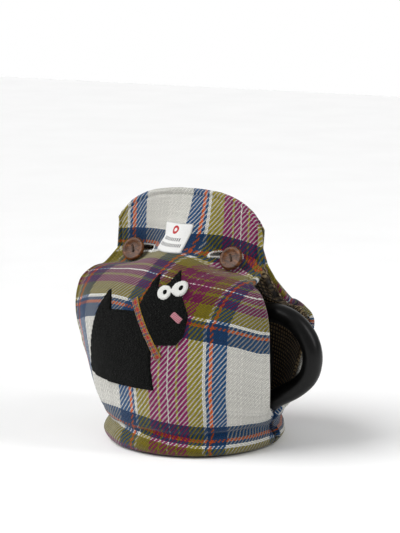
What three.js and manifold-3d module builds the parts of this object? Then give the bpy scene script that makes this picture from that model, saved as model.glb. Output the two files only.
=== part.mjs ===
// A globe teapot in a quilted tweed tea cosy. The cosy is two padded panels, front and back, sewn together
// in a ring round the pot's foot, open at both sides for the handle and the spout, and buttoned together
// above the lid. Millimetres, +Z up. The origin is the centre of the pot's flat foot, the handle points
// along +X, the spout along -X, and the cosy's front panel, with its terrier applique, faces -Y.
import * as THREE from "three";
import { mergeVertices } from "three/addons/utils/BufferGeometryUtils.js";
import Module from "manifold-3d";

const wasm = await Module();
wasm.setup();

// ---------- driving dimensions ----------

const GAP = 0.3; // clearance between pieces that rest on each other

// teapot
const FOOT_RADIUS = 45;
const BELLY_RADIUS = 70;
const BELLY_Z = 66;
const RIM_RADIUS = 43;
const RIM_Z = 131;
const WALL = 4.5;
const LID_RADIUS = 42;
const FLANGE_RADIUS = 37.5;
const FLANGE_DEPTH = 8;
const KNOB_RADIUS = 14;
const KNOB_Z = 169; // centre of the ball
const HANDLE_THICK = 17; // across the grip, in the plane of the handle
const HANDLE_WIDE = 20; // along Y
const SPOUT_WALL = 4;
const LID_TOP_Z = 153.3;
const STRAINER_Z = 58;
const STRAINER_HOLE_RADIUS = 3;
const STRAINER_PITCH = 10;

// cosy panels
const TWEED = { outer: 0, inner: -1.8 };
const WADDING = { outer: -2.3, inner: -5.3 };
const LINING = { outer: -5.7, inner: -6.7 };
const BULGE_REACH = 0.64; // how far across the panel the knob lifts it
const FLAP_HALF_WIDTH = 76;
const FLAP_BASE_Z = 172;
const FLAP_TOP_Z = 224;
const FLAP_Y = 8.5;
const FLAP_SQUARENESS = 2.5;
const FLAP_CORNER = THREE.MathUtils.degToRad(74);
const COLUMNS = 14;
const EDGE_S = 0.975; // where the filling stops short of the side edges
const EDGE_T = 0.3; // and of the hem and the flap's edge

// buttons and trimmings
const BUTTON_RADIUS = 10.8;
const BUTTON_THICK = 4.2;
const BUTTON_FLOOR = 3; // height of the dished middle of the button's face
const BUTTON_HOLE_RADIUS = 1.1;
const BUTTON_HOLE_OFFSET = 2.6;
const BUTTON_HOLE_TURN = THREE.MathUtils.degToRad(25);
const BUTTON_TILT = THREE.MathUtils.degToRad(28);
const BUTTON_AT = { x: 49, y: -22, z: 167.5 };
const SLIT_TIP = { x: 29, z: 169.8, radius: 0.9 };
const SLIT_END = { x: 49.5, z: 167.4, radius: 2.9 };
const SHANK_RADIUS = 1.4;
const SHANK_ENDS = { front: -19.4, back: 2.2 }; // y
const LABEL_EDGES = { left: -19.5, right: 9.5, low: 172, high: 194.5 };
const FELT_PATCH = { outer: 1.5, inner: GAP };
const COLLAR_PATCH = { outer: 2.6, inner: 1.8 };
const EYE_PATCH = { outer: 2.5, inner: 1.8 };
const PUPIL_PATCH = { outer: 3.3, inner: 2.8 };

// Rows of the front panel from the hem to the buttons. c and zc place the middle of the row, ex, ey and ez
// its ends; y is measured outwards. knob is 0 where the row is an arc, and 1 where it is straight but for
// the bulge over the lid's knob.
const ROWS = [
  { c: 78, zc: 0.4, ex: 78, ey: 1.6, ez: 0.4, knob: 0 }, // hem
  { c: 82, zc: 8, ex: 82, ey: 1.6, ez: 8, knob: 0 }, // padded ring
  { c: 77.5, zc: 18, ex: 78.5, ey: 1.6, ez: 18, knob: 0 }, // crease above the ring
  { c: 80, zc: 27, ex: 81.5, ey: 2.2, ez: 27, knob: 0 }, // end of the side seam
  { c: 82, zc: 38, ex: 87, ey: 20, ez: 37, knob: 0 },
  { c: 84.5, zc: 60, ex: 92, ey: 31, ez: 60, knob: 0 },
  { c: 85.5, zc: 92, ex: 96, ey: 40, ez: 92, knob: 0 }, // belly
  { c: 84, zc: 122, ex: 97, ey: 45, ez: 122, knob: 0 },
  { c: 76, zc: 146, ex: 92, ey: 47, ez: 142, knob: 0.1 }, // shoulder
  { c: 55, zc: 166, ex: 81, ey: 44, ez: 153, knob: 0.5 }, // fold
  { c: 39, zc: 176, ex: 78, ey: 27, ez: 156, knob: 0.9 },
  { c: 24, zc: 190, ex: 76, ey: 9.5, ez: 166, knob: 1 }, // buttons
];
const FOLD_ROW = 9;
const BUTTON_ROW = 11;
const TOP_ROW = 14; // the flap takes the rows from the buttons to its rounded edge

// ---------- surfaces ----------

// Catmull-Rom between the rows, for one field.
function rowField(name, t) {
  const i = Math.min(Math.floor(t), ROWS.length - 2);
  const at = (k) => ROWS[THREE.MathUtils.clamp(k, 0, ROWS.length - 1)][name];
  const [a, b, c, d] = [at(i - 1), at(i), at(i + 1), at(i + 2)];
  const u = t - i;
  return b + 0.5 * u * (c - a + u * (2 * a - 5 * b + 4 * c - d + u * (3 * (b - c) + d - a)));
}

// 1 over the knob, falling to 0 at the buttons.
function bulge(s) {
  return Math.cos((Math.PI / 2) * Math.min(1, Math.abs(s) / BULGE_REACH)) ** 2;
}

// A point of the panel below the flap, s from -1 to 1 across it.
function rowPoint(s, t) {
  const [c, zc, ex, ey, ez, knob] = ["c", "zc", "ex", "ey", "ez", "knob"].map((n) => rowField(n, t));
  const half = 2 * Math.atan(Math.max(c - ey, 0.01) / ex);
  const radius = ex / Math.sin(half);
  const arc = { x: radius * Math.sin(s * half), y: ey + radius * (Math.cos(s * half) - Math.cos(half)) };
  const over = { x: ex * s, y: ey + (c - ey) * bulge(s) };
  const mix = THREE.MathUtils.lerp;
  return new THREE.Vector3(
    mix(arc.x, over.x, knob),
    -mix(arc.y, over.y, knob),
    ez + (zc - ez) * mix(1 - s * s, bulge(s), knob),
  );
}

// A point of the rounded edge of the flap.
function flapEdge(s) {
  const angle = s * FLAP_CORNER;
  const power = 2 / FLAP_SQUARENESS;
  return new THREE.Vector3(
    FLAP_HALF_WIDTH * Math.sign(s) * Math.abs(Math.sin(angle)) ** power,
    -FLAP_Y,
    FLAP_BASE_Z + (FLAP_TOP_Z - FLAP_BASE_Z) * Math.cos(angle) ** power,
  );
}

// The front panel's outer face: s across, t in rows up from the hem.
function frontFace(s, t) {
  if (t <= BUTTON_ROW) return rowPoint(s, t);
  const base = rowPoint(s, BUTTON_ROW);
  const edge = flapEdge(s);
  const u = (t - BUTTON_ROW) / (TOP_ROW - BUTTON_ROW);
  const point = base.clone().lerp(edge, u);
  point.y = THREE.MathUtils.lerp(edge.y, base.y, (1 - u) ** 1.6);
  return point;
}

function frontNormal(s, t) {
  const d = 0.02;
  const across = frontFace(Math.min(s + d, 1), t).sub(frontFace(Math.max(s - d, -1), t));
  const up = frontFace(s, Math.min(t + d, TOP_ROW)).sub(frontFace(s, Math.max(t - d, 0)));
  return across.cross(up).normalize();
}

// The front face moved outwards along its normal.
function offsetFace(distance) {
  return (s, t) => frontFace(s, t).addScaledVector(frontNormal(s, t), distance);
}

// ---------- geometry helpers ----------

function range(from, to, count) {
  return Array.from({ length: count + 1 }, (_, i) => from + ((to - from) * i) / count);
}

function solidOf(geometry) {
  const bare = (geometry.index ? geometry.toNonIndexed() : geometry.clone()).clone();
  for (const name of Object.keys(bare.attributes)) if (name !== "position") bare.deleteAttribute(name);
  const merged = mergeVertices(bare, 1e-4);
  return new wasm.Manifold(
    new wasm.Mesh({
      numProp: 3,
      vertProperties: merged.attributes.position.array,
      triVerts: new Uint32Array(merged.index.array),
    }),
  );
}

function geometryOf(solid) {
  const mesh = solid.getMesh();
  const count = mesh.numVert;
  const position = new Float32Array(count * 3);
  for (let i = 0; i < count; i++) {
    position.set(mesh.vertProperties.subarray(i * mesh.numProp, i * mesh.numProp + 3), i * 3);
  }
  return new THREE.BufferGeometry()
    .setAttribute("position", new THREE.BufferAttribute(position, 3))
    .setIndex(new THREE.BufferAttribute(mesh.triVerts, 1))
    .toNonIndexed();
}

// A closed geometry from a grid of points that wraps round in both directions.
function torusGrid(grid) {
  const position = [];
  const [rows, columns] = [grid.length, grid[0].length];
  for (let i = 0; i < rows; i++) {
    for (let j = 0; j < columns; j++) {
      const [a, b] = [grid[i][j], grid[i][(j + 1) % columns]];
      const [c, d] = [grid[(i + 1) % rows][(j + 1) % columns], grid[(i + 1) % rows][j]];
      for (const p of [a, b, c, a, c, d]) position.push(p.x, p.y, p.z);
    }
  }
  return new THREE.BufferGeometry().setAttribute("position", new THREE.Float32BufferAttribute(position, 3));
}

// A sheet of cloth between two distances from the front face, over a patch of s and t.
function sheet(layer, across, up) {
  const position = [];
  const [outer, inner] = [offsetFace(layer.outer), offsetFace(layer.inner)];
  const quad = (a, b, c, d) => {
    for (const p of [a, b, c, a, c, d]) position.push(p.x, p.y, p.z);
  };
  const at = (face, i, j) => face(across[i], up[j]);
  const [m, n] = [across.length - 1, up.length - 1];
  for (let i = 0; i < m; i++) {
    for (let j = 0; j < n; j++) {
      quad(at(outer, i, j), at(outer, i + 1, j), at(outer, i + 1, j + 1), at(outer, i, j + 1));
      quad(at(inner, i, j), at(inner, i, j + 1), at(inner, i + 1, j + 1), at(inner, i + 1, j));
    }
    quad(at(inner, i, 0), at(inner, i + 1, 0), at(outer, i + 1, 0), at(outer, i, 0));
    quad(at(outer, i, n), at(outer, i + 1, n), at(inner, i + 1, n), at(inner, i, n));
  }
  for (let j = 0; j < n; j++) {
    quad(at(outer, 0, j), at(outer, 0, j + 1), at(inner, 0, j + 1), at(inner, 0, j));
    quad(at(inner, m, j), at(inner, m, j + 1), at(outer, m, j + 1), at(outer, m, j));
  }
  return new THREE.BufferGeometry().setAttribute("position", new THREE.Float32BufferAttribute(position, 3));
}

// The same piece on the back panel.
function mirrored(geometry) {
  const position = geometry.getAttribute("position").array.slice();
  for (let i = 0; i < position.length; i += 9) {
    for (let k = 0; k < 3; k++) {
      [position[i + 3 + k], position[i + 6 + k]] = [position[i + 6 + k], position[i + 3 + k]];
    }
  }
  for (let i = 1; i < position.length; i += 3) position[i] = -position[i];
  return new THREE.BufferGeometry().setAttribute("position", new THREE.BufferAttribute(position, 3));
}

// An outline drawn in the X, Z plane, as a bar that runs along -Y through the front panel.
function cutter(shape, segments = 6) {
  const bar = new THREE.ExtrudeGeometry(shape, { depth: 130, bevelEnabled: false, curveSegments: segments });
  return solidOf(bar.rotateX(Math.PI / 2));
}

function outline(points) {
  return new THREE.Shape(points.map(([x, z]) => new THREE.Vector2(x, z)));
}

// A closed bar from rings of points, with a flat cap on each end.
function bar(rings) {
  const position = [];
  const triangle = (...corners) => corners.forEach((p) => position.push(p.x, p.y, p.z));
  const n = rings[0].length;
  for (let j = 0; j < n; j++) {
    const k = (j + 1) % n;
    for (let i = 0; i + 1 < rings.length; i++) {
      triangle(rings[i][j], rings[i][k], rings[i + 1][k]);
      triangle(rings[i][j], rings[i + 1][k], rings[i + 1][j]);
    }
    if (j > 0 && k > 0) {
      triangle(rings[0][0], rings[0][k], rings[0][j]);
      triangle(rings.at(-1)[0], rings.at(-1)[j], rings.at(-1)[k]);
    }
  }
  return new THREE.BufferGeometry().setAttribute("position", new THREE.Float32BufferAttribute(position, 3));
}

// A closed solid of revolution about +Z from radii and heights.
function turned(points, segments) {
  const profile = points.map(([r, z]) => new THREE.Vector2(r, z));
  return new THREE.LatheGeometry(profile, segments).rotateX(Math.PI / 2);
}

// ---------- teapot ----------

const pair = ([r, z]) => new THREE.Vector2(r, z);
const BELLY_CURVE = new THREE.SplineCurve(
  [
    [FOOT_RADIUS + 2, 2],
    [60, 19],
    [67.5, 41],
    [BELLY_RADIUS, BELLY_Z],
    [67, 91],
    [58.5, 110],
    [49, 121],
    [RIM_RADIUS, 127],
  ].map(pair),
);

function potOutside(grow = 0) {
  const side = BELLY_CURVE.getPoints(14).map((p) => [p.x + grow, p.y]);
  return [[0, 0], [FOOT_RADIUS + grow, 0], ...side, [RIM_RADIUS + grow, RIM_Z]];
}

// The belly's curve moved in by the wall, from the rim down.
function potInside() {
  const at = range(0.05, 1, 10).map((u) => {
    const [point, along] = [BELLY_CURVE.getPoint(u), BELLY_CURVE.getTangent(u)];
    return [point.x - along.y * WALL, point.y + along.x * WALL];
  });
  return at.filter(([, z]) => z > WALL + 2).reverse();
}

function potBody() {
  const floor = [[FOOT_RADIUS - 4, WALL], [0, WALL]];
  const profile = [...potOutside(), [RIM_RADIUS - WALL, RIM_Z], ...potInside(), ...floor];
  let body = solidOf(turned(profile, 32));
  for (const hole of strainerHoles()) body = body.subtract(hole);
  return geometryOf(body);
}

// Holes through the wall behind the spout, one in the middle and a ring round it.
function strainerHoles() {
  const places = [[0, 0]];
  for (let i = 0; i < 6; i++) {
    const turn = (i * Math.PI) / 3;
    places.push([STRAINER_PITCH * Math.cos(turn), STRAINER_PITCH * Math.sin(turn)]);
  }
  return places.map(([y, z]) => {
    const drill = new THREE.CylinderGeometry(STRAINER_HOLE_RADIUS, STRAINER_HOLE_RADIUS, 30, 8);
    return solidOf(drill.rotateZ(Math.PI / 2).translate(-BELLY_RADIUS, y, STRAINER_Z + z));
  });
}

// The pot's outer shape, grown by the gap, that the handle and the spout are trimmed to.
function potTrim() {
  return solidOf(turned([...potOutside(GAP), [0, RIM_Z]], 32));
}

// Rings of points round a path in the X, Z plane. size gives a ring's half thickness and half width.
function ringsAlong(path, steps, sides, size) {
  return range(0, 1, steps).map((u) => {
    const [point, along] = [path.getPointAt(u), path.getTangentAt(u)];
    const out = new THREE.Vector3(along.z, 0, -along.x);
    const [thick, wide] = size(u);
    return range(0, 1 - 1 / sides, sides - 1).map((v) => {
      const turn = v * 2 * Math.PI;
      const p = point.clone().addScaledVector(out, thick * Math.cos(turn));
      p.y += wide * Math.sin(turn);
      return p;
    });
  });
}

function curveXZ(points) {
  return new THREE.CatmullRomCurve3(points.map(([x, z]) => new THREE.Vector3(x, 0, z)));
}

// The grip's two ends run into the pot, where they are trimmed to its wall.
function handle() {
  const line = curveXZ([
    [46, 117],
    [64, 119.5],
    [82, 119.5],
    [97, 113.5],
    [108.5, 101],
    [113.5, 85.5],
    [111, 70],
    [100, 57.5],
    [84, 47.5],
    [72, 41],
    [56, 35],
  ]);
  const grip = bar(ringsAlong(line, 26, 12, () => [HANDLE_THICK / 2, HANDLE_WIDE / 2]));
  return geometryOf(solidOf(grip).subtract(potTrim()));
}

function spout() {
  const path = curveXZ([
    [-50, 52],
    [-66, 58],
    [-83, 72],
    [-95, 95],
    [-107, 121],
  ]);
  const halfWidth = (u) => THREE.MathUtils.lerp(23, 10.5, Math.min(1, u * 1.25) ** 0.7);
  const outside = ringsAlong(path, 14, 16, (u) => [halfWidth(u), halfWidth(u)]);
  const inside = ringsAlong(path, 14, 16, (u) => [halfWidth(u) - SPOUT_WALL, halfWidth(u) - SPOUT_WALL]);
  const pipe = solidOf(torusGrid([...outside, ...inside.reverse()]));
  return geometryOf(pipe.subtract(potTrim()));
}

function lid() {
  const seat = RIM_Z + GAP;
  const dome = new THREE.SplineCurve(
    [
      [LID_RADIUS, seat + 3],
      [36, seat + 10],
      [25, seat + 16.5],
      [10, seat + 20],
      [7, LID_TOP_Z],
    ].map(pair),
  );
  const profile = [
    [0, seat + 8],
    [20, seat + 6],
    [FLANGE_RADIUS - 4, seat - 1],
    [FLANGE_RADIUS - 4, seat - FLANGE_DEPTH],
    [FLANGE_RADIUS, seat - FLANGE_DEPTH],
    [FLANGE_RADIUS, seat],
    [LID_RADIUS, seat],
    ...dome.getPoints(8).map((p) => [p.x, p.y]),
    [0, LID_TOP_Z],
  ];
  const vent = new THREE.CylinderGeometry(1.6, 1.6, 40, 8).rotateX(Math.PI / 2).translate(0, 24, seat + 12);
  return geometryOf(solidOf(turned(profile, 28)).subtract(solidOf(vent)));
}

function lidKnob() {
  const foot = LID_TOP_Z + GAP;
  const turns = range(-0.92, Math.PI / 2, 8).slice(0, -1);
  const ball = turns.map((a) => [KNOB_RADIUS * Math.cos(a), KNOB_Z + KNOB_RADIUS * Math.sin(a)]);
  return turned([[0, foot], [6.5, foot], ...ball, [0, KNOB_Z + KNOB_RADIUS]], 20);
}

// ---------- cosy ----------

const ACROSS = [-1, ...range(-EDGE_S, EDGE_S, COLUMNS), 1];
const LOWER_ROWS = [0, EDGE_T, 1, 1.6, 2.3, 3.1, ...range(4, FOLD_ROW, 6)];
const TOP_ROWS = [...range(FOLD_ROW + 0.1, TOP_ROW - EDGE_T, 6), TOP_ROW];
const PATCH_ROWS = LOWER_ROWS.slice(5);

// The filling and the lining stop short of the tweed's edges, which wrap round them.
function panel(layer, rows) {
  if (layer === TWEED) return sheet(layer, ACROSS, rows);
  const covered = rows.filter((t) => t > 0 && t < TOP_ROW);
  return sheet(layer, ACROSS.slice(1, -1), covered);
}

// A buttonhole pulled open by its button: narrow at the tip, wide where the button's thread passes.
function slit(side, grow) {
  const shape = new THREE.Shape();
  shape.absarc(SLIT_TIP.x, SLIT_TIP.z, SLIT_TIP.radius + grow, Math.PI / 2, (3 * Math.PI) / 2, false);
  shape.absarc(SLIT_END.x, SLIT_END.z, SLIT_END.radius + grow, -Math.PI / 2, Math.PI / 2, false);
  const points = shape.getPoints(5).map((p) => [side * p.x, p.y]);
  return cutter(outline(side > 0 ? points : points.reverse()));
}

function frontTop(layer) {
  const cloth = solidOf(panel(layer, TOP_ROWS));
  return geometryOf(cloth.subtract(slit(-1, 0)).subtract(slit(1, 0)));
}

// Cloth, felt or thread laid on the front face, cut to a shape seen from the front.
function patch(shape, layer, rows) {
  return geometryOf(solidOf(sheet(layer, ACROSS, rows)).intersect(shape));
}

function buttonholeStitching(side) {
  const ring = slit(side, 1.3).subtract(slit(side, 0.1));
  return patch(ring, { outer: 0.9, inner: GAP }, TOP_ROWS);
}

function label() {
  const { left, right, low, high } = LABEL_EDGES;
  const shape = cutter(outline([[left, low], [right, low], [right, high], [left, high]]));
  return patch(shape, { outer: GAP + 0.5, inner: GAP }, TOP_ROWS);
}

// A seam's folded allowance, which joins the two lower panels under the handle or the spout.
function sideSeam(side) {
  return new THREE.BoxGeometry(3.6, 0.5, 20).translate(side * 76.6, 0, 13);
}

function button() {
  const rim = BUTTON_RADIUS;
  const profile = [
    [0, 0],
    [6, 0],
    [rim - 1.6, 0.7],
    [rim, 2.2],
    [rim - 0.7, 3.6],
    [rim - 2.2, BUTTON_THICK],
    [rim - 4.4, BUTTON_FLOOR + 0.4],
    [0, BUTTON_FLOOR],
  ];
  let disc = solidOf(new THREE.LatheGeometry(profile.map(pair), 24));
  for (const side of [-1, 1]) {
    const drill = new THREE.CylinderGeometry(BUTTON_HOLE_RADIUS, BUTTON_HOLE_RADIUS, 20, 8);
    disc = disc.subtract(solidOf(drill.translate(0, 0, side * BUTTON_HOLE_OFFSET)));
  }
  return geometryOf(disc.rotate([0, THREE.MathUtils.radToDeg(BUTTON_HOLE_TURN), 0]));
}

// The loop of thread through the button: a strand up each hole, a bar across its face and one behind it.
function buttonThread() {
  const long = 2 * BUTTON_HOLE_OFFSET + 1.1;
  const front = BUTTON_FLOOR + GAP + 0.4;
  const behind = -GAP - 0.4;
  const pieces = [
    new THREE.BoxGeometry(1.1, 0.8, long).translate(0, front, 0),
    new THREE.BoxGeometry(1.1, 0.8, long).translate(0, behind, 0),
  ];
  for (const side of [-1, 1]) {
    const strand = new THREE.CylinderGeometry(0.6, 0.6, front - behind, 8);
    pieces.push(strand.translate(0, (front + behind) / 2, side * BUTTON_HOLE_OFFSET));
  }
  const loop = pieces.map(solidOf).reduce((sum, piece) => sum.add(piece));
  return geometryOf(loop.rotate([0, THREE.MathUtils.radToDeg(BUTTON_HOLE_TURN), 0]));
}

// The wound thread between the button and the back panel, which it is sewn to.
function buttonShank(side) {
  const { front, back } = SHANK_ENDS;
  const shank = new THREE.CylinderGeometry(SHANK_RADIUS, SHANK_RADIUS, back - front, 10);
  return shank.translate(side * BUTTON_AT.x, (front + back) / 2, BUTTON_AT.z);
}

// A group in which a piece made along +Y faces out of the cosy, tilted up, at one of the buttons.
function buttonPlace(side) {
  const group = new THREE.Group();
  const outwards = new THREE.Vector3(0, -Math.cos(BUTTON_TILT), Math.sin(BUTTON_TILT));
  group.position.set(side * BUTTON_AT.x, BUTTON_AT.y, BUTTON_AT.z);
  group.quaternion.setFromUnitVectors(new THREE.Vector3(0, 1, 0), outwards);
  return group;
}

// ---------- applique: a terrier in felt, drawn from the front as X, Z ----------

const DOG_BODY = [
  [-43, 143],
  [-53, 126],
  [-57, 115],
  [-64, 91],
  [-68, 67],
  [-65, 63],
  [-56, 61.5],
  [-30, 60.5],
  [7, 60.5],
  [5, 79],
  [5, 93],
  [7.6, 95.5],
  [-9.4, 127.5],
  [-38.7, 125.5],
  [-39.5, 135],
];
const DOG_HEAD = [
  [2, 157],
  [-7, 138],
  [-9.9, 130.5],
  [6.9, 98.9],
  [27, 100],
  [34, 108.5],
  [37.5, 127],
  [31, 140],
  [17, 159.3],
  [13, 150],
  [6, 148.5],
];
const DOG_COLLAR = [
  [-17, 135.3],
  [-10.9, 138.6],
  [15, 89.7],
  [9, 86.4],
];
const DOG_TONGUE = [
  [25.5, 130],
  [33.5, 124],
  [30, 119],
  [22, 125.5],
];
const EYE_LOBES = [
  { x: 13.8, z: 143.4 },
  { x: 26, z: 146.8 },
];
const EYE_SIZE = { wide: 6.6, high: 5.8 };
const PUPIL_RADIUS = 1.8;

// Two overlapping white discs.
function dogEyes() {
  const lobes = EYE_LOBES.map(({ x, z }) => {
    const shape = new THREE.Shape();
    shape.absellipse(x, z, EYE_SIZE.wide, EYE_SIZE.high, 0, 2 * Math.PI);
    return cutter(shape, 8);
  });
  return patch(lobes[0].add(lobes[1]), EYE_PATCH, PATCH_ROWS);
}

function dogPupil({ x, z }) {
  const shape = new THREE.Shape();
  shape.absarc(x + 1.2, z + 0.2, PUPIL_RADIUS, 0, 2 * Math.PI);
  return patch(cutter(shape, 6), PUPIL_PATCH, PATCH_ROWS);
}

// ---------- assembly ----------

const root = new THREE.Group();

function add(name, geometry, look, parent = root) {
  const mesh = new THREE.Mesh(geometry, new THREE.MeshStandardMaterial(look));
  mesh.name = name;
  parent.add(mesh);
}

const GLAZE = { color: 0x17181a, roughness: 0.45 };
const CLOTH = { color: 0x8a7a3c, roughness: 0.95 };
const BATTING = { color: 0xe8e4da, roughness: 1 };
const CHECK = { color: 0x3a3128, roughness: 0.95 };
const BLACK_FELT = { color: 0x0d0e0d, roughness: 1 };
const WHITE_FELT = { color: 0xf4f4f2, roughness: 0.9 };
const COCONUT = { color: 0x4a2f1b, roughness: 0.35 };
const DARK_THREAD = { color: 0x14110f, roughness: 0.8 };
const WHITE_THREAD = { color: 0xeeeeee, roughness: 0.8 };
const LABEL_CLOTH = { color: 0xf2f2f0, roughness: 0.8 };
const RIBBON = { color: 0x9a4a1c, roughness: 0.9 };
const PINK = { color: 0xc98a96, roughness: 0.8 };

add("pot_body", potBody(), GLAZE);
add("handle", handle(), GLAZE);
add("spout", spout(), GLAZE);
add("lid", lid(), GLAZE);
add("lid_knob", lidKnob(), GLAZE);

const LAYERS = [
  ["tweed", TWEED, CLOTH],
  ["wadding", WADDING, BATTING],
  ["lining", LINING, CHECK],
];
for (const [name, layer, look] of LAYERS) {
  add(`front_${name}`, panel(layer, LOWER_ROWS), look);
  add(`back_${name}`, mirrored(panel(layer, LOWER_ROWS)), look);
  add(`front_top_${name}`, frontTop(layer), look);
  add(`back_top_${name}`, mirrored(panel(layer, TOP_ROWS)), look);
}

for (const [name, side] of [["left", -1], ["right", 1]]) {
  const place = buttonPlace(side);
  root.add(place);
  add(`side_seam_${name}`, sideSeam(side), DARK_THREAD);
  add(`buttonhole_${name}`, buttonholeStitching(side), WHITE_THREAD);
  add(`button_${name}`, button(), COCONUT, place);
  add(`button_thread_${name}`, buttonThread(), DARK_THREAD, place);
  add(`button_shank_${name}`, buttonShank(side), DARK_THREAD);
}
add("label", label(), LABEL_CLOTH);

add("dog_body", patch(cutter(outline(DOG_BODY)), FELT_PATCH, PATCH_ROWS), BLACK_FELT);
add("dog_head", patch(cutter(outline(DOG_HEAD)), FELT_PATCH, PATCH_ROWS), BLACK_FELT);
add("dog_collar", patch(cutter(outline(DOG_COLLAR)), COLLAR_PATCH, PATCH_ROWS), RIBBON);
add("dog_tongue", patch(cutter(outline(DOG_TONGUE)), COLLAR_PATCH, PATCH_ROWS), PINK);
add("dog_eyes", dogEyes(), WHITE_FELT);
add("dog_pupil_left", dogPupil(EYE_LOBES[0]), BLACK_FELT);
add("dog_pupil_right", dogPupil(EYE_LOBES[1]), BLACK_FELT);

export default root;
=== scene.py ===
"""A tweed tea cosy on its teapot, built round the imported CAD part. Lengths are mm until mesh()."""

import math

import bpy
import numpy as np
from mathutils import Matrix, Vector, geometry, noise
from mathutils.bvhtree import BVHTree


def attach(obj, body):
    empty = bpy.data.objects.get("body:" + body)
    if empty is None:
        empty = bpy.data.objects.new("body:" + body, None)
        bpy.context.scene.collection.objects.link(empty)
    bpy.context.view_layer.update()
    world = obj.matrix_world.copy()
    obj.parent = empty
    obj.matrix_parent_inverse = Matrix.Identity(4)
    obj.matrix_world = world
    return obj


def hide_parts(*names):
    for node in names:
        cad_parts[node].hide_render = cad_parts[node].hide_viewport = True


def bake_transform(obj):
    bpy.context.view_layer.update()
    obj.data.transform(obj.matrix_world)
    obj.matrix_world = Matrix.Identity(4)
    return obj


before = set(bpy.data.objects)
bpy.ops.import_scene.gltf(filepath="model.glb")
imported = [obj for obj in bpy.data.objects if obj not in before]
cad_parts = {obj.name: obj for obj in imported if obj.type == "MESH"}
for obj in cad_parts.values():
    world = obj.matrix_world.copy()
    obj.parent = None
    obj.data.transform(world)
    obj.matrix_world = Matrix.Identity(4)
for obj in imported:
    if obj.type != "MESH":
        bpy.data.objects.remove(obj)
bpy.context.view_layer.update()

MM = 0.001


def rgb(red, green, blue):
    """A linear colour from sRGB values of 0 to 255."""
    values = [v / 255 for v in (red, green, blue)]
    return (*(v / 12.92 if v <= 0.04045 else ((v + 0.055) / 1.055) ** 2.4 for v in values), 1.0)


# bodies
COSY = "pot_and_cosy"
FRONT_TOP = "front_top"
LID = "pot_lid"

# the front panel's rows from the hem to the buttons, as in part.mjs: middle (c, zc) and ends (ex, ey, ez)
ROWS = np.array(
    [
        # c, zc, ex, ey, ez, knob
        (78, 0.4, 78, 1.6, 0.4, 0),
        (82, 8, 82, 1.6, 8, 0),
        (77.5, 18, 78.5, 1.6, 18, 0),
        (80, 27, 81.5, 2.2, 27, 0),
        (82, 38, 87, 20, 37, 0),
        (84.5, 60, 92, 31, 60, 0),
        (85.5, 92, 96, 40, 92, 0),
        (84, 122, 97, 45, 122, 0),
        (76, 146, 92, 47, 142, 0.1),
        (55, 166, 81, 44, 153, 0.5),
        (39, 176, 78, 27, 156, 0.9),
        (24, 190, 76, 9.5, 166, 1),
    ],
    float,
)
BUTTON_ROW = len(ROWS) - 1
# the flap above the buttons, up to the row at its edge
TOP_ROW = 14.0
BULGE_REACH = 0.64
FLAP_HALF_WIDTH = 76.0
FLAP_BASE_Z = 172.0
FLAP_TOP_Z = 224.0
FLAP_Y = 8.5
FLAP_SQUARENESS = 2.5
FLAP_CORNER = math.radians(74)

# the panels' grids and the seeds of their folds
PANEL_COLUMNS = 104
PANEL_ROWS = 156
FRONT_SEED = 1
BACK_SEED = 11
# the padded cover, and where its lining lies under the cover's face
THICK = 5.3
LINING_FROM = 5.5
LINING_THICK = 0.9
LINING_INSET = 2.2
# the tartan: threads' pitch, how many lie between mirror lines, and the height of one mirror line
WARP_PITCH = {"body": 1.4, "flap": 1.3}
WEFT_PITCH = 1.35
WARP_HALF_SETT = 54.5
WEFT_HALF_SETT = 66.5
WEFT_PIVOT = 171.0
WEFT_SAG = 12.0
# the checks slide sideways as the cloth is pulled up over the knob
SHIFT_ROWS = (0, 5, 6.8, 8.6, 10, 14)
SHIFTS = (16, 18.4, 21, 37, 49, 50)
# the flap is flat, so its wefts go by height: this one is at this height
FLAP_WEFT = 218.0
FLAP_WEFT_Z = 190.0
FLAP_LEAN = 1.12
FLAP_SAG = (13.0, 5.0)
# how the cloth hangs away from CAD's panels
BACK_DROOP = 30.0
BACK_FLAP_NARROWING = 0.15
BACK_FLAP_DROP = 4.0
FRONT_FLAP_SLIP = 4.5

# a buttonhole's two ends: x, z and radius
SLIT_TIP = (29.0, 169.8, 0.9)
SLIT_END = (49.5, 167.4, 2.9)

# the yarns
OLIVE = rgb(140, 127, 16)
MAGENTA = rgb(130, 8, 84)
BLUE = rgb(8, 70, 118)
ORANGE = rgb(200, 86, 22)
CREAM = rgb(236, 235, 229)
# threads of each colour from one mirror line to the next
HALF_SETT = [
    (CREAM, 0.5),
    (MAGENTA, 4),
    (OLIVE, 2),
    (MAGENTA, 6),
    (OLIVE, 9),
    (CREAM, 2),
    (BLUE, 2),
    (ORANGE, 2),
    (BLUE, 9),
]
# how much prouder the warps stand than the wefts, and dark yarn than pale
WARP_LEAD = 0.12
DARK_LEAD = 1.0
# warps to each thread of the sett, and how far a thread takes on the colour beneath it
WARP_FINENESS = 1.5
SHOW_THROUGH = 0.4

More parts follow.
